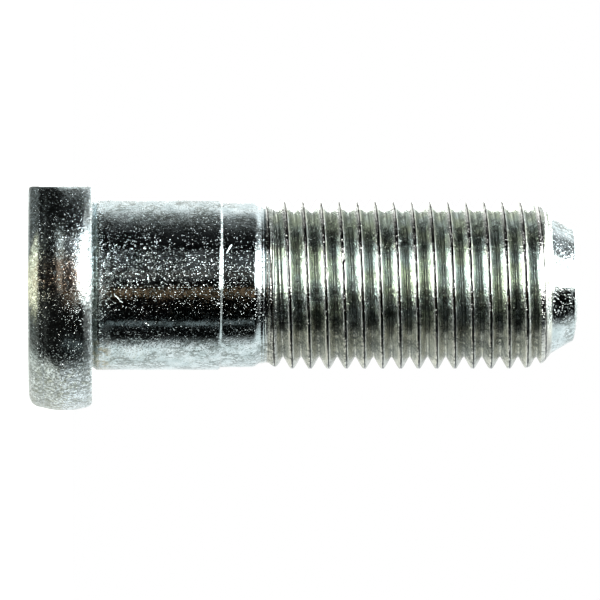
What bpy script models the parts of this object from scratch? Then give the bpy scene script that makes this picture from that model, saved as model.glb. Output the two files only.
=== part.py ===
"""Wheel stud with a clipped head, a smooth stepped shank, a rolled M14 x 1.5 thread and a tapered point.

The stud is one piece of zinc-plated steel. It stands on the outer face of its head: the axis is +Z,
and the origin is where the axis meets that face. The flat that is clipped off the head faces -X.
Lengths are in metres and angles in degrees.
"""

import math

import bmesh
import bpy

# Thread
THREAD_DIAMETER = 0.0140
THREAD_PITCH = 0.0015
THREAD_FLANK_ANGLE = 60.0
THREAD_CREST_FLAT = 0.00025
THREAD_ROOT_FLAT = 0.00015
THREAD_LENGTH = 0.02395  # from the end of the shank to the foot of the point
THREAD_CREST_RISE = 0.00045  # how far the rolling lifts the crests above the plain rod
THREAD_FIRST_CREST = 0.00096  # from the end of the shank to the first crest, on the +X side
RUNOUT_LENGTH = 0.0016  # the grooves fade out over this length beside the shank
LEAD_LENGTH = 0.0023  # the crests sink over this length before the point
LEAD_CREST_DROP = 0.00068

# Point
POINT_LENGTH = 0.0017  # from its foot to the rim of its end
POINT_INSET = 0.00032  # the foot of the point lies this far inside the thread's root
POINT_HALF_ANGLE = 30.0
POINT_CROWN = 0.0005  # how far the domed end stands out past its rim
POINT_END_FLAT = 0.0012  # radius of the flat in the middle of the end
POINT_CHAMFER_ANGLE = 50.0  # of the chamfer that ends the thread, from the axis

# Shank
SHANK_LENGTH = 0.01072  # from the underside of the head to the step
SHANK_OVER_THREAD = 0.0001  # lets the thread pass through the hole that the shank fills
SHANK_STEP = 0.000225  # from the main shank down to the upper shank
SHANK_STEP_LENGTH = 0.00017
UPPER_SHANK_LENGTH = 0.00278
UPPER_CHAMFER_LENGTH = 0.00046
RELIEF_WIDTH = 0.00035  # the groove under the head
RELIEF_DEPTH = 0.0002
UNDERCUT_REACH = 0.0003  # how far the groove's shallow undercut of the head reaches past the shank
UNDERCUT_DEPTH = 0.00006

# Head
HEAD_DIAMETER = 0.0210
HEAD_THICKNESS = 0.00525
HEAD_CROWN = 0.00025  # how far the middle of the rim stands out past its two edges
HEAD_FACE_EDGE_REACH = 0.0020  # the soft forged edge round the outer face
HEAD_FACE_EDGE_DEPTH = 0.0012
HEAD_SEAT_EDGE_RADIUS = 0.00045
HEAD_FLAT_LEDGE = 0.00095  # from the side of the shank to the clipped flat

# Mesh
SEGMENTS = 48
ARC_STEPS = 4
RIM_STEPS = 4
CUTTER_MARGIN = 0.002
WELD_DISTANCE = 1e-6
SHARP_ANGLE = 28.0

# Worked-out radii
THREAD_RADIUS = THREAD_DIAMETER / 2
FLANK_WIDTH = (THREAD_PITCH - THREAD_CREST_FLAT - THREAD_ROOT_FLAT) / 2
THREAD_DEPTH = FLANK_WIDTH / math.tan(math.radians(THREAD_FLANK_ANGLE / 2))
ROOT_RADIUS = THREAD_RADIUS - THREAD_DEPTH
ROD_RADIUS = THREAD_RADIUS - THREAD_CREST_RISE
SHANK_RADIUS = THREAD_RADIUS + SHANK_OVER_THREAD
UPPER_SHANK_RADIUS = SHANK_RADIUS - SHANK_STEP
HEAD_RADIUS = HEAD_DIAMETER / 2
POINT_FOOT_RADIUS = ROOT_RADIUS - POINT_INSET

# Worked-out heights
RELIEF_TOP = HEAD_THICKNESS + RELIEF_WIDTH
SHANK_TOP = HEAD_THICKNESS + SHANK_LENGTH
STEP_TOP = SHANK_TOP + SHANK_STEP_LENGTH
UPPER_SHANK_TOP = STEP_TOP + UPPER_SHANK_LENGTH
THREAD_START = UPPER_SHANK_TOP + UPPER_CHAMFER_LENGTH
POINT_FOOT = THREAD_START + THREAD_LENGTH
LEAD_START = POINT_FOOT - LEAD_LENGTH
POINT_RIM = POINT_FOOT + POINT_LENGTH
STUD_LENGTH = POINT_RIM + POINT_CROWN


def clear_scene():
    for obj in list(bpy.data.objects):
        bpy.data.objects.remove(obj, do_unlink=True)


def new_collection(name):
    collection = bpy.data.collections.new(name)
    bpy.context.scene.collection.children.link(collection)
    return collection


def zinc_plating():
    material = bpy.data.materials.new("zinc_plated_steel")
    material.use_nodes = True
    shader = material.node_tree.nodes["Principled BSDF"]
    shader.inputs["Base Color"].default_value = (0.56, 0.60, 0.58, 1.0)
    shader.inputs["Metallic"].default_value = 1.0
    shader.inputs["Roughness"].default_value = 0.28
    return material


def arc(centre, reach, first, last):
    """Points (radius, height) on an ellipse round centre, from angle first to angle last."""
    points = []
    for step in range(ARC_STEPS + 1):
        angle = math.radians(first + (last - first) * step / ARC_STEPS)
        across = centre[0] + reach[0] * math.cos(angle)
        up = centre[1] + reach[1] * math.sin(angle)
        points.append((across, up))
    return points


def rim_points():
    """The head's barrel-shaped rim, from its edge under the seat down to the soft edge of the face."""
    top = HEAD_THICKNESS - HEAD_SEAT_EDGE_RADIUS
    middle = (top + HEAD_FACE_EDGE_DEPTH) / 2
    half = top - middle
    points = []
    for step in range(1, RIM_STEPS):
        height = top - 2 * half * step / RIM_STEPS
        points.append((HEAD_RADIUS - HEAD_CROWN * ((height - middle) / half) ** 2, height))
    return points


def head_and_shank_profile():
    """(radius, height) down the outer side, from the end of the shank to the middle of the head's face."""
    edge_radius = HEAD_RADIUS - HEAD_CROWN
    relief_radius = SHANK_RADIUS - RELIEF_DEPTH
    # The chamfer runs on into the threaded rod, so that the two overlap clearly.
    chamfer_slope = (UPPER_SHANK_RADIUS - ROD_RADIUS) / UPPER_CHAMFER_LENGTH
    sunk = THREAD_CREST_RISE / 2
    neck = [
        (0.0, THREAD_START + sunk / chamfer_slope),
        (ROD_RADIUS - sunk, THREAD_START + sunk / chamfer_slope),
        (UPPER_SHANK_RADIUS, UPPER_SHANK_TOP),
        (UPPER_SHANK_RADIUS, STEP_TOP),
        (SHANK_RADIUS, SHANK_TOP),
        (SHANK_RADIUS, RELIEF_TOP),
        (relief_radius, RELIEF_TOP - RELIEF_DEPTH),
        (relief_radius, HEAD_THICKNESS - UNDERCUT_DEPTH),
        (SHANK_RADIUS + UNDERCUT_REACH, HEAD_THICKNESS),
    ]
    seat_edge = arc(
        (edge_radius - HEAD_SEAT_EDGE_RADIUS, HEAD_THICKNESS - HEAD_SEAT_EDGE_RADIUS),
        (HEAD_SEAT_EDGE_RADIUS, HEAD_SEAT_EDGE_RADIUS),
        90,
        0,
    )
    face_edge = arc(
        (edge_radius - HEAD_FACE_EDGE_REACH, HEAD_FACE_EDGE_DEPTH),
        (HEAD_FACE_EDGE_REACH, HEAD_FACE_EDGE_DEPTH),
        0,
        -90,
    )
    return [*neck, *seat_edge, *rim_points(), *face_edge, (0.0, 0.0)]


def point_profile():
    """(radius, height) of the form that trims the threaded rod to its chamfer and its tapered, domed point."""
    outside = THREAD_RADIUS + CUTTER_MARGIN
    chamfer_slope = math.tan(math.radians(POINT_CHAMFER_ANGLE))
    rim_radius = POINT_FOOT_RADIUS - POINT_LENGTH * math.tan(math.radians(POINT_HALF_ANGLE))
    dome = arc((POINT_END_FLAT, POINT_RIM), (rim_radius - POINT_END_FLAT, POINT_CROWN), 90, 0)
    return [
        (0.0, STUD_LENGTH),
        *dome,
        (POINT_FOOT_RADIUS, POINT_FOOT),
        (outside, POINT_FOOT - (outside - POINT_FOOT_RADIUS) / chamfer_slope),
        (outside, UPPER_SHANK_TOP - 2 * CUTTER_MARGIN),
        (0.0, UPPER_SHANK_TOP - 2 * CUTTER_MARGIN),
    ]


def profile_object(name, points, collection):
    """A chain of edges in the XZ plane, ready for a Screw modifier."""
    mesh = bpy.data.meshes.new(name)
    edges = [(i, i + 1) for i in range(len(points) - 1)]
    mesh.from_pydata([(radius, 0.0, height) for radius, height in points], edges, [])
    obj = bpy.data.objects.new(name, mesh)
    collection.objects.link(obj)
    return obj


def add_screw(obj, rise=0.0, turns=1):
    screw = obj.modifiers.new("turn", "SCREW")
    screw.axis = "Z"
    screw.screw_offset = rise
    screw.iterations = turns
    screw.steps = SEGMENTS
    screw.render_steps = SEGMENTS
    screw.use_merge_vertices = rise == 0.0
    screw.merge_threshold = WELD_DISTANCE
    return screw


def apply_modifiers(obj):
    graph = bpy.context.evaluated_depsgraph_get()
    mesh = bpy.data.meshes.new_from_object(obj.evaluated_get(graph))
    obj.modifiers.clear()
    obj.data = mesh


def turned(name, points, collection):
    """A solid of revolution."""
    obj = profile_object(name, points, collection)
    add_screw(obj)
    return obj


def rolled_radius(radius, height):
    """The thread's radius with its grooves fading out at the shank and its crests sinking at the point."""
    fullness = min(1.0, max(0.0, (height - THREAD_START) / RUNOUT_LENGTH))
    faded = ROD_RADIUS + (radius - ROD_RADIUS) * fullness
    sunk = max(0.0, height - LEAD_START) * LEAD_CREST_DROP / LEAD_LENGTH
    return min(faded, max(THREAD_RADIUS - sunk, ROOT_RADIUS))


def close_end(mesh, edges, height):
    """Joins an open end of the thread to one point on the axis."""
    made = bmesh.ops.extrude_edge_only(mesh, edges=edges)["geom"]
    corners = [item for item in made if isinstance(item, bmesh.types.BMVert)]
    bmesh.ops.pointmerge(mesh, verts=corners, merge_co=(0.0, 0.0, height))


def threaded_rod(collection):
    """A right-hand thread swept as one groove profile, longer than the stud's thread at both ends."""
    turns_below = math.ceil((THREAD_FIRST_CREST + CUTTER_MARGIN) / THREAD_PITCH)
    first = THREAD_START + THREAD_FIRST_CREST - turns_below * THREAD_PITCH - THREAD_CREST_FLAT / 2
    turns = math.ceil((STUD_LENGTH + CUTTER_MARGIN - first) / THREAD_PITCH)
    groove = [
        (THREAD_RADIUS, first),
        (THREAD_RADIUS, first + THREAD_CREST_FLAT),
        (ROOT_RADIUS, first + THREAD_CREST_FLAT + FLANK_WIDTH),
        (ROOT_RADIUS, first + THREAD_PITCH - FLANK_WIDTH),
        (THREAD_RADIUS, first + THREAD_PITCH),
    ]
    rod = profile_object("threaded_rod", groove, collection)
    add_screw(rod, rise=THREAD_PITCH, turns=turns)
    apply_modifiers(rod)

    mesh = bmesh.new()
    mesh.from_mesh(rod.data)
    bmesh.ops.remove_doubles(mesh, verts=mesh.verts, dist=WELD_DISTANCE)
    for corner in mesh.verts:
        radius = math.hypot(corner.co.x, corner.co.y)
        share = rolled_radius(radius, corner.co.z) / radius
        corner.co.x *= share
        corner.co.y *= share
    middle = (THREAD_START + POINT_FOOT) / 2
    open_edges = [edge for edge in mesh.edges if edge.is_boundary]
    close_end(mesh, [edge for edge in open_edges if edge.verts[0].co.z < middle], first)
    close_end(mesh, [edge for edge in open_edges if edge.verts[0].co.z > middle], first + turns * THREAD_PITCH)
    bmesh.ops.recalc_face_normals(mesh, faces=mesh.faces)
    mesh.to_mesh(rod.data)
    mesh.free()
    return rod


def clip_cutter(collection):
    """A block whose +X side is the plane of the clipped flat."""
    flat = -(SHANK_RADIUS + HEAD_FLAT_LEDGE)
    depth = HEAD_RADIUS + flat + CUTTER_MARGIN
    mesh = bpy.data.meshes.new("head_clip")
    block = bmesh.new()
    bmesh.ops.create_cube(block, size=1.0)
    bmesh.ops.scale(block, verts=block.verts, vec=(depth, 2 * HEAD_RADIUS, HEAD_THICKNESS + 2 * CUTTER_MARGIN))
    bmesh.ops.translate(block, verts=block.verts, vec=(flat - depth / 2, 0.0, HEAD_THICKNESS / 2))
    block.to_mesh(mesh)
    block.free()
    obj = bpy.data.objects.new("head_clip", mesh)
    collection.objects.link(obj)
    return obj


def hide_helper(obj):
    obj.hide_render = True
    obj.display_type = "WIRE"


def add_boolean(obj, operation, other):
    boolean = obj.modifiers.new(other.name, "BOOLEAN")
    boolean.operation = operation
    boolean.solver = "EXACT"
    boolean.object = other
    hide_helper(other)


def main():
    clear_scene()
    parts = new_collection("wheel_stud")
    cutters = new_collection("cutters")

    rod = threaded_rod(cutters)
    add_boolean(rod, "INTERSECT", turned("point_form", point_profile(), cutters))

    stud = turned("wheel_stud", head_and_shank_profile(), parts)
    add_boolean(stud, "UNION", rod)
    add_boolean(stud, "DIFFERENCE", clip_cutter(cutters))
    apply_modifiers(stud)
    stud.data.materials.clear()
    stud.data.materials.append(zinc_plating())
    stud.data.shade_smooth()
    stud.data.set_sharp_from_angle(angle=math.radians(SHARP_ANGLE))


main()
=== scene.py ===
"""The looks of a clipped-head wheel stud in zinc-plated steel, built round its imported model.

The stud stands on its head: +Z runs towards the point, and the flat of the head faces -X.
The camera looks along +Y and is rolled, so that the stud lies level with its point to the right
and its -X side at the top. Lengths are in metres and angles in degrees.
"""

import math

import bpy
import numpy as np
from mathutils import Matrix, Vector


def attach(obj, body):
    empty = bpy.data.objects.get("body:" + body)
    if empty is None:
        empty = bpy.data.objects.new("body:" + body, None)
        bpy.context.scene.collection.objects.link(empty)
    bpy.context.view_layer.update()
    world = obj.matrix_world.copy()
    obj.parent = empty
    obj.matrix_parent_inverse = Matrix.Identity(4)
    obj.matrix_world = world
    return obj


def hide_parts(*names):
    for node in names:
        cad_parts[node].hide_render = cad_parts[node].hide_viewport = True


MM = 0.001

# Sizes repeated from the construction
THREAD_RADIUS = 0.0070
THREAD_PITCH = 0.0015
THREAD_FLANK_ANGLE = 60.0
THREAD_CREST_FLAT = 0.00025
THREAD_ROOT_FLAT = 0.00015
THREAD_LENGTH = 0.02395
THREAD_CREST_RISE = 0.00045
THREAD_FIRST_CREST = 0.00096
RUNOUT_LENGTH = 0.0016
LEAD_LENGTH = 0.0023
LEAD_CREST_DROP = 0.00068
POINT_LENGTH = 0.0017
POINT_INSET = 0.00032
POINT_HALF_ANGLE = 30.0
POINT_CROWN = 0.0005
POINT_END_FLAT = 0.0012
POINT_CHAMFER_ANGLE = 50.0
SHANK_LENGTH = 0.01072
SHANK_OVER_THREAD = 0.0001
SHANK_STEP = 0.000225
SHANK_STEP_LENGTH = 0.00017
UPPER_SHANK_LENGTH = 0.00278
UPPER_CHAMFER_LENGTH = 0.00046
RELIEF_WIDTH = 0.00035
RELIEF_DEPTH = 0.0002
UNDERCUT_REACH = 0.0003
UNDERCUT_DEPTH = 0.00006
HEAD_RADIUS = 0.0105
HEAD_THICKNESS = 0.00525
HEAD_CROWN = 0.00025
HEAD_FACE_EDGE_REACH = 0.0020
HEAD_FACE_EDGE_DEPTH = 0.0012
HEAD_SEAT_EDGE_RADIUS = 0.00045
HEAD_FLAT_LEDGE = 0.00095

# Worked-out sizes
FLANK_SLOPE = math.tan(math.radians(THREAD_FLANK_ANGLE / 2))
THREAD_DEPTH = (THREAD_PITCH - THREAD_CREST_FLAT - THREAD_ROOT_FLAT) / 2 / FLANK_SLOPE
ROOT_RADIUS = THREAD_RADIUS - THREAD_DEPTH
ROD_RADIUS = THREAD_RADIUS - THREAD_CREST_RISE
SHANK_RADIUS = THREAD_RADIUS + SHANK_OVER_THREAD
UPPER_SHANK_RADIUS = SHANK_RADIUS - SHANK_STEP
POINT_FOOT_RADIUS = ROOT_RADIUS - POINT_INSET
SHANK_TOP = HEAD_THICKNESS + SHANK_LENGTH
STEP_TOP = SHANK_TOP + SHANK_STEP_LENGTH
UPPER_SHANK_TOP = STEP_TOP + UPPER_SHANK_LENGTH
THREAD_START = UPPER_SHANK_TOP + UPPER_CHAMFER_LENGTH
POINT_FOOT = THREAD_START + THREAD_LENGTH
LEAD_START = POINT_FOOT - LEAD_LENGTH
POINT_RIM = POINT_FOOT + POINT_LENGTH
STUD_LENGTH = POINT_RIM + POINT_CROWN
FLAT_DISTANCE = SHANK_RADIUS + HEAD_FLAT_LEDGE

# Grid of the fine mesh
COLUMNS = 192
ANGLES = np.arange(COLUMNS) * 2 * math.pi / COLUMNS
ROWS_A_TURN = 18
ROW_HEIGHT = 0.2 * MM
RIM_ROW_HEIGHT = 1.6 * ROW_HEIGHT
CORNER_STEPS = 4
CURVE_STEPS = 16
LONGEST_ROUNDING = 0.45
SEAT_EDGE_STEPS = 10
SEAT_RINGS = 7
FACE_RINGS = 25
FAN_SHARE = 0.08
PROFILE_SAMPLES = 1201
BEND_WEIGHT = 0.00022
END_MARGIN = 0.0018
SHARP_ANGLE = 50.0

# Fine forms of the thread and the point
SEAM_WIDTH = 0.00005
SEAM_DEPTH = 0.000012
SEAM_OFFSET = 0.00003
CREST_ROUND = 0.00005
ROOT_ROUND = 0.00018
FLANK_BULGE = 0.00006
POINT_FOOT_ROUND = 0.00008
FOOT_BOW = 0.00028
FOOT_BOW_REACH = 0.8 * POINT_LENGTH

# Fine forms of the shank: its step leans a little, and its foot is rougher than the rest
UPPER_SHANK_EDGE = 0.00006
STEP_SLANT = 0.011
STEP_SHIFT = 0.00017
STEP_REACH = 0.5 * MM
STEP_BLEND = 0.4 * MM
FOOT_REACH = 1.6 * MM
FOOT_BLEND = 0.4 * MM

# Fine forms of the head
SEAT_EDGE_LENGTH = 0.00062
SEAT_EDGE_START = 30.0
FLAT_EDGE_ROUND = 0.00035
FLAT_FACE_ROUND = 0.00025
FLAT_LEAST_FACING = 0.2
FACE_EDGE_FULLNESS = 0.50
FACE_EDGE_START = 13.0
RIM_INSET = 0.02 * MM

# Shallow waves: height, longest and shortest length, number of waves and seed
SHANK_WAVES = (0.004 * MM, 5 * MM, 0.7 * MM, 60, 3)
FOOT_WAVES = (0.008 * MM, 1.5 * MM, 0.5 * MM, 40, 4)
RIM_WAVES = (0.012 * MM, 6 * MM, 1.0 * MM, 60, 5)
THREAD_WAVES = (0.006 * MM, 6 * MM, 0.8 * MM, 80, 11)

# Relief of the plating
GRAIN_HEIGHT = 0.00002
FLANK_GRAIN_HEIGHT = 0.000022
THREAD_LINE_HEIGHT = 0.000008
FACE_LINE_HEIGHT = 0.000025
PIT_DEPTH = 0.00005
SMALL_PIT_DEPTH = 0.7 * PIT_DEPTH
PIT_DRIFT = 0.00018
PIT_DRIFT_SCALE = 3000.0
RUNOUT_RING_PITCH = 0.0003
RUNOUT_RING_HEIGHT = 0.00003

# Dings, each from one place to another: across the axis, up it and from it, then its width and depth
GOUGES = [
    ((-0.00345, 0.01700, 0.0069), (-0.00220, 0.01635, 0.0069), 0.00016, 0.00012),
    ((-0.00070, 0.00990, 0.0071), (0.00010, 0.01010, 0.0071), 0.00010, 0.00008),
    ((-0.00120, 0.02460, 0.0069), (-0.00030, 0.02490, 0.0069), 0.00014, 0.00012),
    ((-0.00230, 0.02605, 0.0069), (-0.00190, 0.02610, 0.0069), 0.00020, 0.00016),
    ((0.00000, 0.04270, 0.0060), (0.00010, 0.04275, 0.0060), 0.00025, 0.00020),
    ((-0.00560, 0.01390, 0.0071), (-0.00150, 0.01530, 0.0071), 0.00007, 0.00004),
    ((0.00080, 0.00700, 0.0071), (0.00350, 0.01000, 0.0071), 0.00006, 0.00003),
]

# Colours of the stud, with painted light and shade among them
DULL_ZINC = (0.60, 0.69, 0.68, 1.0)
PALE_ZINC = (0.84, 0.91, 0.90, 1.0)
# Painted cool reflection tint for the plating's upper side
DULL_ZINC_PAINTED_COOL = (0.57, 0.68, 0.72, 1.0)
PALE_ZINC_PAINTED_COOL = (0.80, 0.91, 0.95, 1.0)
STAINED_THREAD = (0.85, 0.92, 0.79, 1.0)
CLEAN_THREAD = (0.84, 0.93, 0.91, 1.0)
# Painted warm reflection tint for the thread's lower side
THREAD_PAINTED_WARM = (0.94, 0.90, 0.80, 1.0)
# Painted highlight: a brighter colour for the crests on the head's side of the seam
PAINTED_CREST_HIGHLIGHT = (0.95, 0.96, 0.94, 1.0)
# Painted light: a pale colour for the head's lower side, away from the flat
PAINTED_RIM_LIGHT = (0.93, 1.0, 1.0, 1.0)
OLIVE_BLOTCH = (0.48, 0.50, 0.38, 1.0)
# Dark marks, also used for painted shade in the thread's grooves and the relief groove
DARK_MARK_AND_SHADE = (0.14, 0.16, 0.14, 1.0)
CORNER_BROWN = (0.42, 0.38, 0.26, 1.0)
RUST = (0.26, 0.18, 0.125, 1.0)
RUST_PLACE = (-0.0006, 0.0026, 0.0105)
# The seam's dark line, with painted shade that widens it at the lower side
SEAM_LINE_AND_SHADE = (0.03, 0.03, 0.025, 1.0)

# Camera
CAMERA_DISTANCE = 0.620
CAMERA_HEIGHT = 0.00726
CAMERA_ASIDE = 0.00130
AIM_HEIGHT = 0.02249
PIXELS_A_METRE = 12050
PICTURE_WIDTH = 600
SENSOR_WIDTH = 36.0

# Floor, world and lamp
WHITE = (1.0, 1.0, 1.0, 1.0)
FLOOR_HALF = 0.6
FLOOR_PAINT = (0.5, 0.5, 0.5, 1.0)
FLOOR_GLOW = 0.8
FLOOR_LIGHT = (0.97, 1.0, 0.95, 1.0)
FLOOR_WARM_LIGHT = (1.0, 0.95, 0.72, 1.0)
FLOOR_SPOT = (-0.0008, -0.0104, 0.0)
FLOOR_SPOT_SCALE = (1.0, 3.2, 1.0)
BACKDROP_ABOVE = (1.0, 1.0, 0.97, 1.0)
BACKDROP_BELOW = (0.94, 1.0, 1.03, 1.0)
WARM_LIGHT = (1.0, 0.66, 0.40, 1.0)
COOL_LIGHT = (0.80, 0.95, 1.0, 1.0)
SOFTBOX_CENTRE = (-0.095, -0.30, 0.35)
SOFTBOX_SIZE = (0.27, 1.16)
SOFTBOX_RADIANCE = 2.2
SOFTBOX_COLOUR = (1.0, 0.99, 0.96)


def smooth_min(a, b, blend):
    """The smaller of a and b, with the corner between them rounded over blend."""
    overlap = np.maximum(blend - np.abs(a - b), 0.0) / blend
    return np.minimum(a, b) - overlap**2 * blend / 4


def waves(heights, amplitude, longest, shortest, count, seed):
    """A sum of random waves over rings at heights, which meets itself after a full turn."""
    draw = np.random.default_rng(seed)
    total = np.zeros(heights.shape)
    for _ in range(count):
        length = longest * (shortest / longest) ** draw.random()
        lean = draw.random() * 2 * math.pi
        start = draw.random() * 2 * math.pi
        around = round(2 * math.pi * THREAD_RADIUS * math.cos(lean) / length)
        along = 2 * math.pi * math.sin(lean) / length
        total += math.sqrt(length / longest) * np.cos(around * ANGLES + along * heights + start)
    return amplitude * total / math.sqrt(count)


def rounded_profile(corners):
    """A smooth (radius, height) line through corners, given as (radius, height, rounding).

    A rounding takes at most the share LONGEST_ROUNDING of the stretch to the next corner.
    """
    line = [corners[0][:2]]
    for before, corner, after in zip(corners, corners[1:], corners[2:]):
        here = np.array(corner[:2])
        rounding = corner[2]
        if rounding == 0.0:
            line.append(tuple(here))
            continue
        ends = []
        for other in (before, after):
            side = np.array(other[:2]) - here
            length = np.linalg.norm(side)
            ends.append(here + side / length * min(rounding, length * LONGEST_ROUNDING))
        for step in range(CORNER_STEPS + 1):
            share = step / CORNER_STEPS
            point = (1 - share) ** 2 * ends[0] + 2 * share * (1 - share) * here + share**2 * ends[1]
            line.append(tuple(point))
    line.append(corners[-1][:2])
    return line


def divided(line, longest):
    """The same line with its long stretches cut into pieces no longer than longest."""
    points = [line[0]]
    for before, after in zip(line, line[1:]):
        pieces = max(1, math.ceil(math.dist(before, after) / longest))
        for piece in range(1, pieces + 1):
            share = piece / pieces
            radius = before[0] + (after[0] - before[0]) * share
            height = before[1] + (after[1] - before[1]) * share
            points.append((radius, height))
    return points


def ellipse(centre, reach, first, last, steps):
    """Points on an ellipse from the angle first to the angle last."""
    points = []
    for step in range(steps + 1):
        angle = math.radians(first + (last - first) * step / steps)
        points.append((centre[0] + reach[0] * math.cos(angle), centre[1] + reach[1] * math.sin(angle)))
    return points


def rings(line):
    """A (radius, height) line turned round the axis: its radii and heights, one row a ring."""
    points = np.array(line)
    return np.repeat(points[:, :1], COLUMNS, axis=1), np.repeat(points[:, 1:], COLUMNS, axis=1)


def grid_points(radii, heights, last):
    """The points of the rings, then the middle of the first ring and of the last."""
    grid = np.stack([radii * np.cos(ANGLES), radii * np.sin(ANGLES), heights], axis=-1)
    middles = [[0.0, 0.0, heights[0].mean()], [0.0, 0.0, heights[last].mean()]]
    return np.concatenate([grid.reshape(-1, 3), middles])


def mesh_object(name, points, faces):
    mesh = bpy.data.meshes.new(name)
    mesh.from_pydata(points.tolist(), [], faces)
    mesh.update()
    obj = bpy.data.objects.new(name, mesh)
    bpy.context.scene.collection.objects.link(obj)
    return obj


def turned_object(name, radii, heights):
    """A closed surface from rings, given from the top ring to the bottom ring."""
    faces = []
    for row in range(len(radii) - 1):
        upper = row * COLUMNS
        lower = upper + COLUMNS
        for column in range(COLUMNS):
            beside = (column + 1) % COLUMNS
            faces.append((upper + column, lower + column, lower + beside, upper + beside))
    top = radii.size
    bottom = top + 1
    last = (len(radii) - 1) * COLUMNS
    for column in range(COLUMNS):
        beside = (column + 1) % COLUMNS
        faces.append((top, column, beside))
        faces.append((bottom, last + beside, last + column))
    return mesh_object(name, grid_points(radii, heights, -1), faces)


def neck_line():
    """From inside the rod down the upper shank, the step and the shank to the head's undercut."""
    chamfer_slope = (UPPER_SHANK_RADIUS - ROD_RADIUS) / UPPER_CHAMFER_LENGTH
    sunk = THREAD_CREST_RISE / 2
    relief_radius = SHANK_RADIUS - RELIEF_DEPTH
    relief_top = HEAD_THICKNESS + RELIEF_WIDTH
    return rounded_profile(
        [
            (ROD_RADIUS - sunk, THREAD_START + sunk / chamfer_slope, 0.0),
            (UPPER_SHANK_RADIUS, UPPER_SHANK_TOP - UPPER_SHANK_EDGE, 0.00018),
            (UPPER_SHANK_RADIUS, STEP_TOP, 0.00006),
            (SHANK_RADIUS, SHANK_TOP, 0.00014),
            (SHANK_RADIUS, relief_top, 0.00010),
            (relief_radius, relief_top - RELIEF_DEPTH, 0.00006),
            (relief_radius, HEAD_THICKNESS - UNDERCUT_DEPTH, 0.00004),
            (SHANK_RADIUS + UNDERCUT_REACH, HEAD_THICKNESS, 0.0),
        ]
    )


def neck_rings():
    """The shank with its step slightly out of square, and with shallow waves above the relief groove."""
    radii, heights = rings(divided(neck_line(), ROW_HEIGHT))
    at_step = np.clip((heights - SHANK_TOP + STEP_REACH) / STEP_BLEND, 0, 1)
    heights = heights - at_step * (STEP_SLANT * radii * np.cos(ANGLES) + STEP_SHIFT)
    rough = waves(heights, *SHANK_WAVES)
    near_head = np.clip((HEAD_THICKNESS + FOOT_REACH - heights) / FOOT_BLEND, 0, 1)
    rough += near_head * waves(heights, *FOOT_WAVES)
    on_shank = heights > HEAD_THICKNESS + RELIEF_WIDTH
    return np.where(on_shank, radii + rough, radii), heights


def rim_line():
    """From the seat's edge round the barrel-shaped rim of the head to the edge of its outer face."""
    edge_radius = HEAD_RADIUS - HEAD_CROWN
    top = HEAD_THICKNESS - SEAT_EDGE_LENGTH
    middle = (top + HEAD_FACE_EDGE_DEPTH) / 2
    half = top - middle
    reach = HEAD_SEAT_EDGE_RADIUS / math.cos(math.radians(SEAT_EDGE_START))
    length = SEAT_EDGE_LENGTH / (1 - math.sin(math.radians(SEAT_EDGE_START)))
    centre = (edge_radius - HEAD_SEAT_EDGE_RADIUS, HEAD_THICKNESS - length)
    seat_edge = ellipse(centre, (reach, length), 90, SEAT_EDGE_START, SEAT_EDGE_STEPS)
    rim = []
    for step in range(1, CURVE_STEPS):
        height = top - 2 * half * step / CURVE_STEPS
        rim.append((HEAD_RADIUS - HEAD_CROWN * ((height - middle) / half) ** 2, height))
    angles = np.radians(np.linspace(FACE_EDGE_START, 90, CURVE_STEPS))
    inward = 1 - (np.cos(angles) / np.cos(angles[0])) ** FACE_EDGE_FULLNESS
    upward = 1 - np.sin(angles) ** FACE_EDGE_FULLNESS
    radii = edge_radius - HEAD_FACE_EDGE_REACH * inward
    heights = HEAD_FACE_EDGE_DEPTH * upward / upward[0]
    return [*seat_edge, *rim, *zip(radii, heights)]


def rim_rings():
    """The rim with its shallow dents, clipped by the flat."""
    radii, heights = rings(divided(rim_line(), RIM_ROW_HEIGHT))
    facing = -np.cos(ANGLES)
    clipped = FLAT_DISTANCE / np.maximum(facing, FLAT_LEAST_FACING)
    flat = np.where(facing > FLAT_LEAST_FACING, clipped, 1.0)
    under_edge = np.maximum(FLAT_FACE_ROUND - heights, 0.0)
    inset = FLAT_FACE_ROUND - np.sqrt(np.maximum(FLAT_FACE_ROUND**2 - under_edge**2, 0.0))
    dents = waves(heights, *RIM_WAVES) - RIM_INSET
    return smooth_min(radii + dents, flat - inset, FLAT_EDGE_ROUND), heights


def head_and_shank():
    """The turned head and shank in one surface, from inside the thread to the head's outer face."""
    neck_radii, neck_heights = neck_rings()
    rim_radii, rim_heights = rim_rings()
    seat_shares = np.linspace(0, 1, SEAT_RINGS + 2)[1:-1, None]
    seat_radii = neck_radii[-1:] + seat_shares * (rim_radii[:1] - neck_radii[-1:])
    seat_heights = np.full_like(seat_radii, HEAD_THICKNESS)
    face_radii = np.linspace(1, FAN_SHARE, FACE_RINGS + 1)[1:, None] * rim_radii[-1:]
    face_heights = np.zeros_like(face_radii)
    radii = np.concatenate([neck_radii, seat_radii, rim_radii, face_radii])
    heights = np.concatenate([neck_heights, seat_heights, rim_heights, face_heights])
    return turned_object("head_and_shank", radii, heights)


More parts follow.
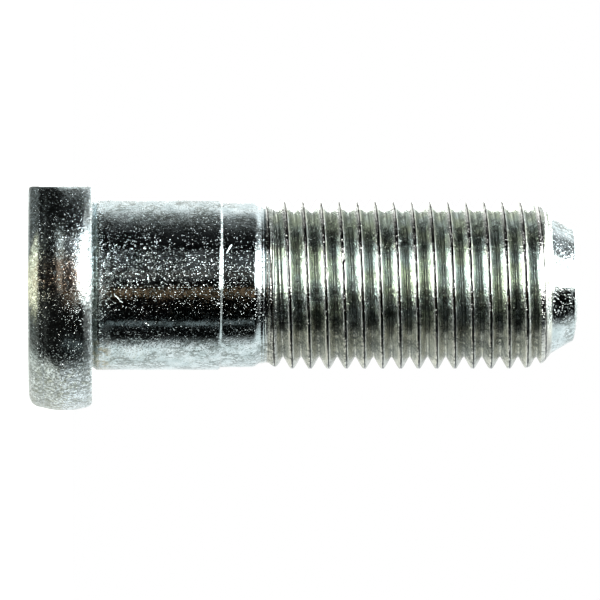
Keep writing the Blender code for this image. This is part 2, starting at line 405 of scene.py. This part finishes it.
def groove_profile():
    """One pitch of the thread from crest to crest, as offsets along the axis and depths below the crest.

    They stand closer together where the profile bends.
    """
    fine = np.linspace(0, THREAD_PITCH, PROFILE_SAMPLES)
    away = np.minimum(fine, THREAD_PITCH - fine)
    flank = (away - THREAD_CREST_FLAT / 2) / FLANK_SLOPE
    share = np.clip(flank / THREAD_DEPTH, 0.0, 1.0)
    flank = flank - 4 * FLANK_BULGE * share * (1 - share)
    depth = -smooth_min(-flank, np.zeros_like(flank), CREST_ROUND)
    depth = smooth_min(depth, np.full_like(depth, THREAD_DEPTH), ROOT_ROUND)
    depth = depth + SEAM_DEPTH * np.exp(-((away / SEAM_WIDTH) ** 2))
    steepness = np.gradient(depth, fine)
    bend = np.abs(np.gradient(np.arctan(steepness), fine))
    weight = np.cumsum(np.sqrt(1 + steepness**2) * (1 + BEND_WEIGHT * bend))
    weight = (weight - weight[0]) / (weight[-1] - weight[0])
    places = np.interp(np.arange(ROWS_A_TURN) / ROWS_A_TURN, weight, fine)
    return places, np.interp(places, fine, depth)


def rolled_radius(radius, height):
    """The thread's radius with its grooves fading out at the shank and its crests sinking at the point."""
    fullness = np.clip((height - THREAD_START) / RUNOUT_LENGTH, 0, 1)
    faded = ROD_RADIUS + (radius - ROD_RADIUS) * fullness
    sunk = np.maximum(0.0, height - LEAD_START) * LEAD_CREST_DROP / LEAD_LENGTH
    return np.minimum(faded, np.maximum(THREAD_RADIUS - sunk, ROOT_RADIUS))


def helix_point(row, column):
    """A point's place in the helix's grid, where a full turn ends one pitch higher."""
    if column == COLUMNS:
        return (row + ROWS_A_TURN) * COLUMNS
    return row * COLUMNS + column


def helix_loop(row):
    """The closed loop round the grid at a row, which comes back down one pitch of the groove."""
    around = [helix_point(row, column) for column in range(COLUMNS)]
    return around + [helix_point(lower, 0) for lower in range(row + ROWS_A_TURN, row, -1)]


def round_pairs(loop):
    """Each point of a closed loop with the next."""
    return zip(loop, loop[1:] + loop[:1])


def threaded_rod():
    """The right-hand thread on a grid that follows its helix, longer than the stud's at both ends."""
    offsets, depths = groove_profile()
    turns_below = math.ceil((THREAD_FIRST_CREST + END_MARGIN) / THREAD_PITCH)
    first = THREAD_START + THREAD_FIRST_CREST - turns_below * THREAD_PITCH
    turns = math.ceil((STUD_LENGTH + END_MARGIN - first) / THREAD_PITCH) + 1
    turn, step = np.divmod(np.arange(turns * ROWS_A_TURN), ROWS_A_TURN)
    climb = THREAD_PITCH * np.arange(COLUMNS) / COLUMNS
    heights = (first + turn * THREAD_PITCH + offsets[step])[:, None] + climb
    radii = THREAD_RADIUS - depths[step][:, None] + np.zeros(COLUMNS)
    radii = rolled_radius(radii + waves(heights, *THREAD_WAVES), heights)

    last = len(heights) - ROWS_A_TURN - 1
    faces = []
    for lower in range(last):
        for column in range(COLUMNS):
            faces.append(
                (
                    helix_point(lower, column),
                    helix_point(lower, column + 1),
                    helix_point(lower + 1, column + 1),
                    helix_point(lower + 1, column),
                )
            )
    bottom = radii.size
    top = bottom + 1
    for here, after in round_pairs(helix_loop(0)):
        faces.append((bottom, after, here))
    for here, after in round_pairs(helix_loop(last)):
        faces.append((top, here, after))
    return mesh_object("threaded_rod", grid_points(radii, heights, last), faces)


def point_form():
    """The turned form that trims the rod to its chamfer and its tapered, domed point."""
    outside = THREAD_RADIUS + END_MARGIN
    chamfer_slope = math.tan(math.radians(POINT_CHAMFER_ANGLE))
    rim_radius = POINT_FOOT_RADIUS - POINT_LENGTH * math.tan(math.radians(POINT_HALF_ANGLE))
    dome_reach = (rim_radius - POINT_END_FLAT, POINT_CROWN)
    dome = ellipse((POINT_END_FLAT, POINT_RIM), dome_reach, 90, 0, CURVE_STEPS)
    cone = rounded_profile(
        [
            (rim_radius, POINT_RIM, 0.0),
            (POINT_FOOT_RADIUS, POINT_FOOT, POINT_FOOT_ROUND),
            (outside, POINT_FOOT - (outside - POINT_FOOT_RADIUS) / chamfer_slope, 0.0),
        ]
    )
    line = divided([(FAN_SHARE * POINT_END_FLAT, STUD_LENGTH), *dome, *cone[1:]], ROW_HEIGHT)
    radii, heights = rings([*line, (outside, THREAD_START - 2 * END_MARGIN)])
    near_foot = np.clip(1 - np.abs(heights - POINT_FOOT) / FOOT_BOW_REACH, 0, 1)
    heights = heights - FOOT_BOW * np.sin(ANGLES) ** 2 * near_foot
    return turned_object("point_form", radii, heights)


def combine(obj, operation, other):
    """Joins obj with other, or keeps what they share, and removes other."""
    boolean = obj.modifiers.new(other.name, "BOOLEAN")
    boolean.operation = operation
    boolean.solver = "MANIFOLD"
    boolean.object = other
    graph = bpy.context.evaluated_depsgraph_get()
    mesh = bpy.data.meshes.new_from_object(obj.evaluated_get(graph))
    obj.modifiers.clear()
    obj.data = mesh
    bpy.data.objects.remove(other, do_unlink=True)


def stud_surface():
    """The whole stud in one fine mesh, with sharp edges where its faces turn by SHARP_ANGLE or more."""
    rod = threaded_rod()
    combine(rod, "INTERSECT", point_form())
    stud = head_and_shank()
    combine(stud, "UNION", rod)
    stud.name = "wheel_stud_surface"
    stud.data.shade_smooth()
    stud.data.set_sharp_from_angle(angle=math.radians(SHARP_ANGLE))
    return stud


class Graph:
    """A node tree, with short ways to add the nodes that the stud, the floor and the world need."""

    def __init__(self, tree, coordinates):
        self.tree = tree
        self.place = self.new("ShaderNodeTexCoord").outputs[coordinates]
        self.x, self.y, self.z = self.new("ShaderNodeSeparateXYZ", self.place).outputs

    def feed(self, socket, value):
        if isinstance(value, bpy.types.NodeSocket):
            self.tree.links.new(value, socket)
        else:
            socket.default_value = value

    def fill(self, node, values):
        """Feeds the node's first sockets, in order."""
        for socket, value in zip(node.inputs, values):
            self.feed(socket, value)

    def new(self, kind, *values):
        """A new node, with its first sockets fed with the values."""
        made = self.tree.nodes.new(kind)
        self.fill(made, values)
        return made

    def math(self, operation, first, second=0.0, third=0.0, clamp=False):
        made = self.new("ShaderNodeMath")
        made.operation = operation
        made.use_clamp = clamp
        self.fill(made, (first, second, third))
        return made.outputs[0]

    def vector_math(self, operation, *values):
        made = self.new("ShaderNodeVectorMath")
        made.operation = operation
        self.fill(made, values)
        return made

    def chain(self, operation, values):
        result = values[0]
        for value in values[1:]:
            result = self.math(operation, result, value)
        return result

    def product(self, *values):
        return self.chain("MULTIPLY", values)

    def total(self, *values):
        return self.chain("ADD", values)

    def highest(self, *values):
        return self.chain("MAXIMUM", values)

    def opposite(self, share):
        """1 where share is 0, and 0 where it is 1."""
        return self.math("SUBTRACT", 1.0, share)

    def off(self, value, middle):
        """How far value is from middle, either way."""
        return self.math("ABSOLUTE", self.math("SUBTRACT", value, middle))

    def distance(self, place, other):
        return self.vector_math("DISTANCE", place, other).outputs["Value"]

    def scaled_place(self, scale):
        made = self.new("ShaderNodeMapping", self.place)
        made.inputs["Scale"].default_value = scale
        return made.outputs["Vector"]

    def noise(self, scale, detail, roughness, place=None):
        made = self.new("ShaderNodeTexNoise", self.place if place is None else place)
        made.inputs["Scale"].default_value = scale
        made.inputs["Detail"].default_value = detail
        made.inputs["Roughness"].default_value = roughness
        return made.outputs["Fac"]

    def spread(self, value, low, high, to_low=0.0, to_high=1.0):
        """to_low where value is at low or beyond, to_high at high or beyond, and smooth between them."""
        made = self.new("ShaderNodeMapRange", value, low, high, to_low, to_high)
        made.interpolation_type = "SMOOTHSTEP"
        return made.outputs["Result"]

    def patches(self, scale, detail, roughness, low, high, to_low=0.0, to_high=1.0):
        """Random patches: to_low where the noise is at low or less, to_high at high or more."""
        return self.spread(self.noise(scale, detail, roughness), low, high, to_low, to_high)

    def window(self, value, low, high, blend):
        """1 where value lies between low and high, fading to 0 over blend beyond each."""
        return self.product(self.spread(value, low - blend, low), self.spread(value, high + blend, high))

    def mix(self, share, first, second):
        """The colour first where share is 0, and second where it is 1."""
        made = self.new("ShaderNodeMix")
        made.data_type = "RGBA"
        self.feed(made.inputs["Factor"], share)
        self.feed(made.inputs["A"], first)
        self.feed(made.inputs["B"], second)
        return made.outputs["Result"]

    def show(self, output, to_camera, to_others):
        """Gives the output one shader for camera rays and another for all other rays."""
        is_camera = self.new("ShaderNodeLightPath").outputs["Is Camera Ray"]
        choose = self.new("ShaderNodeMixShader", is_camera, to_others, to_camera)
        self.new(output, choose.outputs[0])


class StudGraph(Graph):
    """The nodes of the stud's material, with the zones that its colour, roughness and relief share.

    on_thread, on_head, lower_head, crest and facing are 1 inside their zone and 0 away from it. The lower
    head is the rim away from the flat, and facing leaves out the stud's upper and lower sides. The other
    two are parts of a pitch: from_crest runs from 0 at the seam to 0.5 in the root, and side is below 0
    on the head's side of the seam and above 0 on the point's.
    """

    def __init__(self, tree):
        super().__init__(tree, "Object")
        self.on_thread = self.window(self.z, THREAD_START + 0.4 * MM, POINT_FOOT - 0.3 * MM, 0.3 * MM)
        self.on_head = self.spread(self.z, HEAD_THICKNESS + 0.7 * MM, HEAD_THICKNESS + 0.4 * MM)
        self.lower_head = self.product(self.spread(self.x, 6.0 * MM, 7.8 * MM), self.on_head)
        self.facing = self.window(self.x, -4.2 * MM, 3.6 * MM, 1.4 * MM)
        phase = self.thread_phase()
        self.from_crest = self.math("PINGPONG", phase, 0.5)
        self.side = self.math("WRAP", phase, 0.5, -0.5)
        # The crest zone is glossier and carries a painted highlight in its colour; it leaves out the lower
        # side
        self.crest = self.product(
            self.window(self.side, -0.18, -0.01, 0.10),
            self.on_thread,
            self.spread(self.x, 4.5 * MM, 1.0 * MM),
        )

    def thread_phase(self):
        """How many pitches a place is from the seam's start, so that whole numbers lie on the seam."""
        seam_start = THREAD_START + THREAD_FIRST_CREST + SEAM_OFFSET
        climbed = self.math("DIVIDE", self.math("SUBTRACT", self.z, seam_start), THREAD_PITCH)
        turned = self.math("DIVIDE", self.math("ARCTAN2", self.y, self.x), 2 * math.pi)
        wander = self.math("MULTIPLY_ADD", self.noise(900.0, 3.0, 0.6), 0.06, -0.03)
        return self.math("ADD", self.math("SUBTRACT", climbed, turned), wander)


def on_skin(across, height, radius):
    """A place on the front of the stud, across its axis and up it."""
    return Vector((across, -math.sqrt(radius**2 - across**2), height))


def bare_zinc(graph):
    """The clouded colour of the plating, stained on the thread, with painted reflection tints: cooler at
    the upper side and warmer at the thread's lower side.
    """
    cloud = graph.patches(800.0, 4.0, 0.7, 0.33, 0.67)
    smooth = graph.mix(cloud, DULL_ZINC, PALE_ZINC)
    painted_cool = graph.mix(cloud, DULL_ZINC_PAINTED_COOL, PALE_ZINC_PAINTED_COOL)
    # The upper side gets a cooler tint: a painted reflection of cool light
    smooth = graph.mix(graph.spread(graph.x, 1.5 * MM, -3.0 * MM), smooth, painted_cool)
    stain = graph.patches(420.0, 3.0, 0.6, 0.40, 0.60)
    thread = graph.mix(stain, STAINED_THREAD, CLEAN_THREAD)
    # The thread's lower side gets a warmer tint: a painted reflection of warm light
    painted_warm = graph.product(graph.spread(graph.x, 2.0 * MM, 4.5 * MM), 0.7)
    thread = graph.mix(painted_warm, thread, THREAD_PAINTED_WARM)
    return graph.mix(graph.on_thread, smooth, thread)


def strokes_and_flecks(graph):
    """Dark strokes and flecks all over the stud, fainter in a band on the thread just towards -X of its
    middle, which paints a highlight there.
    """
    winding = graph.noise(1900.0, 3.0, 0.6, graph.scaled_place((1.0, 1.0, 0.7)))
    strokes = graph.product(
        graph.spread(graph.off(winding, 0.5), 0.080, 0.030),
        graph.patches(520.0, 2.0, 0.5, 0.42, 0.55),
        0.9,
    )
    flecks = graph.product(
        graph.patches(5500.0, 1.5, 0.5, 0.54, 0.66),
        graph.patches(420.0, 2.0, 0.5, 0.35, 0.65),
    )
    # Fewer dark marks in this band: a painted highlight
    highlight_band = graph.product(graph.window(graph.x, -2.2 * MM, -0.2 * MM, 1.0 * MM), graph.on_thread, 0.6)
    return graph.product(
        graph.highest(strokes, flecks),
        graph.spread(graph.on_thread, 0.0, 1.0, 0.75, 0.9),
        graph.opposite(highlight_band),
    )


def head_mottle_and_groove_shade(graph):
    """Dark mottle on the head, more of it by the outer face, and painted shade in the relief groove away
    from the upper and lower sides.
    """
    mottle = graph.product(graph.patches(4600.0, 2.0, 0.6, 0.49, 0.60), graph.on_head, 0.8)
    stippled = graph.product(
        graph.patches(5200.0, 2.0, 0.6, 0.44, 0.56),
        graph.spread(graph.z, 2.0 * MM, 1.3 * MM),
        0.55,
    )
    # Painted shade in the relief groove
    groove_shade = graph.product(
        graph.window(graph.z, HEAD_THICKNESS + 0.12 * MM, HEAD_THICKNESS + 0.55 * MM, 0.1 * MM),
        graph.patches(3800.0, 2.0, 0.6, 0.36, 0.46),
        graph.window(graph.x, -4.5 * MM, 5.0 * MM, 1.5 * MM),
        0.95,
    )
    return graph.highest(mottle, stippled, groove_shade)


def thread_shade(graph):
    """Painted shade beside the roots and the seam, spread over the flanks at the upper and lower sides."""
    turned_away = graph.opposite(graph.facing)
    in_front = graph.product(graph.window(graph.from_crest, 0.385, 0.43, 0.02), graph.facing, 0.85)
    over_flanks = graph.product(
        graph.window(graph.from_crest, 0.09, 0.450, 0.025),
        turned_away,
        graph.spread(graph.side, -0.02, 0.02, 0.24, 0.54),
    )
    beside_root = graph.product(graph.window(graph.from_crest, 0.400, 0.436, 0.016), 0.78, turned_away)
    beside_seam = graph.product(graph.window(graph.side, 0.03, 0.10, 0.03), 0.45)
    return graph.product(graph.highest(in_front, over_flanks, beside_root, beside_seam), graph.on_thread)


def corner_darkening(graph):
    """Brown darkening on the lower side of the shank, in the corner under the head."""
    return graph.product(
        graph.spread(graph.z, HEAD_THICKNESS + 1.7 * MM, HEAD_THICKNESS + 1.0 * MM),
        graph.spread(graph.z, HEAD_THICKNESS, HEAD_THICKNESS + 0.1 * MM),
        graph.spread(graph.x, 4.2 * MM, 5.4 * MM),
        graph.patches(1900.0, 3.0, 0.6, 0.42, 0.58),
        0.75,
    )


def rust_patch(graph):
    """A rust-brown patch on the head's rim."""
    from_rust = graph.distance(graph.place, on_skin(*RUST_PLACE))
    near = graph.spread(from_rust, 3.0 * MM, 0.6 * MM)
    return graph.product(near, graph.patches(2600.0, 3.0, 0.6, 0.29, 0.50), 0.85)


def rolling_seam(graph):
    """The dark line down the middle of the crests, of uneven width: the seam's own dark line, widened at
    the lower side by painted shade.
    """
    width = graph.total(
        graph.patches(1800.0, 2.0, 0.5, 0.3, 0.7, 0.0, 0.03),
        # Wider at the lower side: painted shade
        graph.spread(graph.x, -1.0 * MM, 2.0 * MM, 0.009, 0.020),
    )
    near = graph.spread(graph.from_crest, graph.math("ADD", width, 0.014), width)
    return graph.product(near, graph.on_thread)


def plating_colour(graph):
    """The plating's colour, with its marks, painted shade and painted light laid over it one after
    another.
    """
    dark = graph.highest(strokes_and_flecks(graph), head_mottle_and_groove_shade(graph), thread_shade(graph))
    layers = [
        # Painted highlight on the crests
        (graph.crest, PAINTED_CREST_HIGHLIGHT),
        # Painted light on the head's lower side
        (graph.product(graph.lower_head, 0.9), PAINTED_RIM_LIGHT),
        (graph.product(graph.patches(1700.0, 4.0, 0.7, 0.49, 0.60), graph.lower_head, 0.62), OLIVE_BLOTCH),
        # Dark marks and painted shade
        (graph.product(dark, graph.opposite(graph.crest)), DARK_MARK_AND_SHADE),
        (corner_darkening(graph), CORNER_BROWN),
        (rust_patch(graph), RUST),
        (rolling_seam(graph), SEAM_LINE_AND_SHADE),
    ]
    colour = bare_zinc(graph)
    for share, layer in layers:
        colour = graph.mix(share, colour, layer)
    return colour


def plating_roughness(graph):
    """Glossy zinc, duller on the thread's flanks, the head, the edge of its seat and the shank's foot."""
    gloss = graph.patches(1400.0, 3.0, 0.6, 0.35, 0.7, 0.05, 0.13)
    thread = graph.product(graph.on_thread, graph.opposite(graph.crest), 0.13)
    head = graph.product(graph.spread(graph.z, HEAD_THICKNESS + 0.1 * MM, HEAD_THICKNESS - 0.1 * MM), 0.08)
    shank_foot = graph.product(
        graph.window(graph.z, HEAD_THICKNESS + 0.4 * MM, HEAD_THICKNESS + 1.2 * MM, 0.6 * MM),
        graph.window(graph.x, -1.2 * MM, 5.0 * MM, 1.2 * MM),
        graph.patches(1100.0, 3.0, 0.6, 0.38, 0.55),
        0.16,
    )
    seat_edge = graph.window(graph.z, HEAD_THICKNESS - 0.5 * MM, HEAD_THICKNESS + 0.01 * MM, 0.4 * MM)
    duller = graph.math("MULTIPLY_ADD", seat_edge, 0.15, graph.highest(thread, head, shank_foot))
    return graph.math("ADD", gloss, duller)


def pitting(graph, place, scale, reach, rarity):
    """Round pits at random places, 0 at the surface and -1 at the bottom of the deepest."""
    cells = graph.new("ShaderNodeTexVoronoi", place)
    cells.inputs["Scale"].default_value = scale
    dimple = graph.spread(cells.outputs["Distance"], 0.0, reach, -1.0, 0.0)
    chance = graph.new("ShaderNodeSeparateColor", cells.outputs["Color"]).outputs[0]
    return graph.product(dimple, graph.math("POWER", chance, rarity))


def pit_strength(graph):
    """How strong the grain and pits are: patchy, and strongest on the lower head and by its faces."""
    calm = graph.math("MULTIPLY_ADD", graph.window(graph.x, 2.6 * MM, 4.3 * MM, 0.5 * MM), -0.30, 1.0)
    strength = graph.product(
        graph.spread(graph.on_thread, 0.0, 1.0, 1.0, 1.3),
        graph.patches(260.0, 3.0, 0.6, 0.3, 0.7, 0.6, 1.25),
        calm,
    )
    seat = graph.window(graph.z, HEAD_THICKNESS - 0.1 * MM, HEAD_THICKNESS + 0.6 * MM, 0.4 * MM)
    by_faces = graph.total(graph.spread(graph.z, 1.4 * MM, 0.8 * MM, 1.0, 2.6), graph.product(seat, 2.6))
    return graph.product(strength, graph.math("MULTIPLY_ADD", graph.lower_head, 2.4, by_faces))


def gouge(graph, place, start, end, width):
    """A short groove between two places, 0 at the surface and -1 at its bottom."""
    along = end - start
    offset = graph.vector_math("SUBTRACT", place, start).outputs[0]
    share = graph.vector_math("DOT_PRODUCT", offset, along / along.length_squared).outputs["Value"]
    reached = graph.vector_math("SCALE", along)
    graph.feed(reached.inputs["Scale"], graph.math("ADD", share, 0.0, clamp=True))
    return graph.spread(graph.distance(offset, reached.outputs[0]), 0.0, width, -1.0, 0.0)


def plating_relief(graph):
    """The height of the plating over the mesh: grain, pits, fine lines, rings and gouges."""
    drift = graph.new("ShaderNodeTexNoise", graph.place)
    drift.inputs["Scale"].default_value = PIT_DRIFT_SCALE
    reach = (PIT_DRIFT, PIT_DRIFT, PIT_DRIFT)
    bent = graph.vector_math("MULTIPLY_ADD", drift.outputs["Color"], reach, graph.place).outputs[0]

    flank_grain = graph.product(graph.noise(5000.0, 2.0, 0.6), graph.on_thread, FLANK_GRAIN_HEIGHT)
    grain = graph.math("MULTIPLY_ADD", graph.noise(2600.0, 2.5, 0.6), GRAIN_HEIGHT, flank_grain)
    pits = graph.product(pitting(graph, bent, 5400.0, 0.42, 3.5), PIT_DEPTH)
    small_pits = graph.product(pitting(graph, bent, 8500.0, 0.45, 3.0), SMALL_PIT_DEPTH)
    pocked = graph.product(graph.total(pits, small_pits, grain), pit_strength(graph))

    fine_lines = graph.noise(900.0, 3.0, 0.6, graph.scaled_place((1.0, 1.0, 9.0)))
    wave = graph.math("SINE", graph.product(graph.z, 2 * math.pi / RUNOUT_RING_PITCH))
    runout = graph.window(graph.z, THREAD_START, THREAD_START + 0.9 * MM, 0.2 * MM)
    face_line = graph.spread(graph.off(graph.z, HEAD_FACE_EDGE_DEPTH), 0.1 * MM, 0.0)
    relief = graph.total(
        pocked,
        graph.product(fine_lines, graph.on_thread, THREAD_LINE_HEIGHT),
        graph.product(wave, runout, RUNOUT_RING_HEIGHT),
        graph.product(face_line, graph.spread(graph.x, 4.5 * MM, 6.2 * MM), FACE_LINE_HEIGHT),
    )
    for start, end, width, depth in GOUGES:
        dent = gouge(graph, bent, on_skin(*start), on_skin(*end), width)
        relief = graph.math("MULTIPLY_ADD", dent, depth, relief)
    return relief


def zinc_plating():
    """Bright zinc over forged and rolled steel: a glossy skin with fine pits, dark marks, and painted
    light and shade.
    """
    material = bpy.data.materials.new("zinc_plating")
    material.use_nodes = True
    shader = material.node_tree.nodes["Principled BSDF"]
    graph = StudGraph(material.node_tree)
    bump = graph.new("ShaderNodeBump")
    bump.inputs["Strength"].default_value = 1.0
    bump.inputs["Distance"].default_value = 1.0
    graph.feed(bump.inputs["Height"], plating_relief(graph))
    shader.inputs["Metallic"].default_value = 1.0
    graph.feed(shader.inputs["Base Color"], plating_colour(graph))
    graph.feed(shader.inputs["Roughness"], plating_roughness(graph))
    graph.feed(shader.inputs["Normal"], bump.outputs["Normal"])
    return material


def add_camera():
    camera = bpy.data.cameras.new("camera")
    camera.sensor_width = SENSOR_WIDTH
    camera.lens = CAMERA_DISTANCE * PIXELS_A_METRE * SENSOR_WIDTH / PICTURE_WIDTH
    camera.clip_start = 0.01
    camera.clip_end = 20.0
    obj = bpy.data.objects.new("camera", camera)
    bpy.context.scene.collection.objects.link(obj)
    tilt = math.atan2(AIM_HEIGHT - CAMERA_HEIGHT, CAMERA_DISTANCE)
    obj.location = (CAMERA_ASIDE, -CAMERA_DISTANCE, CAMERA_HEIGHT)
    # Looking along +Y with +Z to the right of the picture.
    ahead = np.array([0.0, math.cos(tilt), math.sin(tilt)])
    right = np.array([0.0, -math.sin(tilt), math.cos(tilt)])
    up = np.cross(right, ahead)
    turn = np.stack([right, up, -ahead], axis=1)
    obj.rotation_euler = Matrix(turn.tolist()).to_euler()
    bpy.context.scene.camera = obj


def floor_light(graph):
    """The colour and strength of the pale places round the stud that its metal reflects."""
    distance = graph.vector_math("LENGTH", graph.place).outputs["Value"]
    slanted = graph.math("MULTIPLY_ADD", graph.x, 0.12, graph.y)
    lower_side = graph.spread(graph.x, 0.0, 4.0 * MM)
    beside = graph.product(
        graph.spread(slanted, -8.8 * MM, -6.6 * MM, 0.0, 0.9),
        lower_side,
        graph.spread(distance, 45 * MM, 24 * MM),
    )
    beyond = graph.product(
        graph.spread(slanted, -3.0 * MM, 4.0 * MM, 0.0, 0.75),
        lower_side,
        graph.spread(distance, 100 * MM, 50 * MM),
    )
    lean = graph.math("DIVIDE", graph.x, graph.math("MULTIPLY", graph.y, -1.0))
    ahead = graph.product(
        graph.window(lean, -0.9, 0.0, 0.15),
        graph.spread(graph.y, -5 * MM, -15 * MM),
        graph.spread(distance, 22 * MM, 30 * MM),
        graph.spread(distance, 100 * MM, 60 * MM),
        1.25,
    )
    far_strip = graph.product(
        graph.window(graph.x, -45 * MM, -12 * MM, 6 * MM),
        graph.spread(graph.y, 55 * MM, 85 * MM),
        6.0,
    )
    ring = graph.product(
        graph.spread(distance, 8.8 * MM, 9.8 * MM, 1.5, 0.20),
        graph.spread(distance, 10.6 * MM, 14.0 * MM, 1.0, 0.03),
    )
    behind = graph.spread(graph.y, -10 * MM, 80 * MM, 0.0, 0.9)
    middle = Vector(FLOOR_SPOT) * Vector(FLOOR_SPOT_SCALE)
    from_spot = graph.distance(graph.scaled_place(FLOOR_SPOT_SCALE), middle)
    broken = graph.patches(2200.0, 2.0, 0.6, 0.35, 0.65, -0.6 * MM, 0.6 * MM)
    spot = graph.spread(graph.math("ADD", from_spot, broken), 5.0 * MM, 1.8 * MM, 0.0, 1.6)
    colour = graph.mix(graph.spread(spot, 0.0, 0.3), FLOOR_LIGHT, FLOOR_WARM_LIGHT)
    return colour, graph.total(graph.highest(ring, beside, behind, beyond, ahead, far_strip), spot)


def add_floor():
    """A floor that the camera sees as white, with a pattern of light and dark for reflections."""
    corners = [(-1, -1), (1, -1), (1, 1), (-1, 1)]
    mesh = bpy.data.meshes.new("floor")
    mesh.from_pydata([(x * FLOOR_HALF, y * FLOOR_HALF, 0) for x, y in corners], [], [(0, 1, 2, 3)])
    floor = bpy.data.objects.new("floor", mesh)
    bpy.context.scene.collection.objects.link(floor)
    material = bpy.data.materials.new("floor")
    material.use_nodes = True
    material.node_tree.nodes.clear()
    graph = Graph(material.node_tree, "Object")
    glow = graph.new("ShaderNodeEmission", WHITE, FLOOR_GLOW)
    paint = graph.new("ShaderNodeBsdfDiffuse", FLOOR_PAINT)
    to_camera = graph.new("ShaderNodeAddShader", glow.outputs[0], paint.outputs[0])
    to_others = graph.new("ShaderNodeEmission", *floor_light(graph))
    graph.show("ShaderNodeOutputMaterial", to_camera.outputs[0], to_others.outputs[0])
    mesh.materials.append(material)


def room_light(graph):
    """The lights of the room as (colour, strength) pairs, placed by their direction from the stud.

    In the picture -X is up, +Y is behind the stud and +Z is to the right.
    """
    in_front = graph.spread(graph.y, 0.10, -0.05)
    level = graph.window(graph.z, -0.30, 0.30, 0.30)

    def front_strip(shape, strength):
        return graph.product(shape, in_front, level, strength)

    slanted = graph.math("MULTIPLY_ADD", graph.x, 0.26, graph.y)
    backdrop = graph.spread(slanted, -0.03, 0.41)
    backdrop_edge = graph.product(
        graph.spread(slanted, -0.60, -0.05),
        graph.spread(graph.x, 0.3, -0.3, 0.003, 0.18),
    )
    backdrop_colour = graph.mix(graph.spread(graph.x, -0.4, 0.6), BACKDROP_ABOVE, BACKDROP_BELOW)
    soft_edge = graph.spread(graph.z, 0.14, 0.60, 0.0, 0.9)
    bright_core = graph.spread(graph.z, 0.41, 0.53, 0.0, 12.5)
    reflector = graph.product(
        graph.total(soft_edge, bright_core),
        graph.window(graph.x, -0.60, 0.06, 0.12),
        in_front,
        graph.spread(graph.z, 0.68, 0.60),
    )
    high_back = graph.product(
        graph.spread(graph.x, 0.0, -0.03),
        graph.spread(graph.x, -0.32, -0.16),
        graph.spread(graph.y, 0.82, 0.92),
        7.0,
    )
    point_side = graph.total(
        graph.product(graph.spread(graph.z, 0.85, 0.91), graph.spread(graph.x, 0.35, 0.05, 0.35, 0.6)),
        graph.product(graph.spread(graph.z, 0.45, 0.70), graph.window(graph.x, -0.57, 0.05, 0.06), 0.8),
        graph.product(graph.spread(graph.z, 0.35, 0.60), graph.spread(graph.x, -0.58, -0.66), 0.16),
    )
    haze = front_strip(graph.window(graph.x, -0.66, -0.16, 0.10), 0.070)
    faint = front_strip(graph.spread(graph.x, -0.80, -0.90), 0.012)
    warm_edge = front_strip(graph.window(graph.x, 0.12, 0.27, 0.03), 0.18)
    warm_line = front_strip(graph.window(graph.x, -0.28, -0.21, 0.03), 0.04)
    cool_edge = front_strip(graph.window(graph.x, 0.79, 0.84, 0.015), 0.20)
    return [
        (backdrop_colour, graph.total(backdrop, backdrop_edge)),
        (WHITE, graph.total(reflector, high_back, point_side, haze, faint)),
        (WARM_LIGHT, graph.total(warm_edge, warm_line)),
        (COOL_LIGHT, cool_edge),
    ]


def add_world():
    """A white backdrop behind the stud and a dim room in front of it, with a pale reflector."""
    world = bpy.data.worlds.new("studio")
    bpy.context.scene.world = world
    world.use_nodes = True
    world.node_tree.nodes.clear()
    graph = Graph(world.node_tree, "Generated")
    lights = []
    for colour, strength in room_light(graph):
        lights.append(graph.new("ShaderNodeBackground", colour, strength).outputs[0])
    to_others = lights[0]
    for light in lights[1:]:
        to_others = graph.new("ShaderNodeAddShader", to_others, light).outputs[0]
    to_camera = graph.new("ShaderNodeBackground", WHITE).outputs[0]
    graph.show("ShaderNodeOutputWorld", to_camera, to_others)


def add_softbox():
    """One large softbox overhead, facing down as a lamp does unless it is turned."""
    light = bpy.data.lights.new("overhead", "AREA")
    light.shape = "RECTANGLE"
    light.size, light.size_y = SOFTBOX_SIZE
    light.energy = SOFTBOX_RADIANCE * math.pi * SOFTBOX_SIZE[0] * SOFTBOX_SIZE[1]
    light.color = SOFTBOX_COLOUR
    obj = bpy.data.objects.new("overhead", light)
    bpy.context.scene.collection.objects.link(obj)
    obj.location = SOFTBOX_CENTRE
    obj.visible_camera = False


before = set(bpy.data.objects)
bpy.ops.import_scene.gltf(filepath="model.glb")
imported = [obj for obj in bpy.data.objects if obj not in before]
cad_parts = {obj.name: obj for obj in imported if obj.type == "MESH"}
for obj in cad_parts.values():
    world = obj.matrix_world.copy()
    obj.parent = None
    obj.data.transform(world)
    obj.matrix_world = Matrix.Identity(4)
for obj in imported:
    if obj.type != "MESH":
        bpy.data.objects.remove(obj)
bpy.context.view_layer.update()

bpy.context.scene.view_settings.view_transform = "Standard"
add_camera()
add_world()
add_floor()
add_softbox()

stud = stud_surface()
stud.data.materials.clear()
stud.data.materials.append(zinc_plating())
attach(stud, "root")
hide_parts("wheel_stud")

print("triangles", sum(len(face.vertices) - 2 for face in stud.data.polygons))
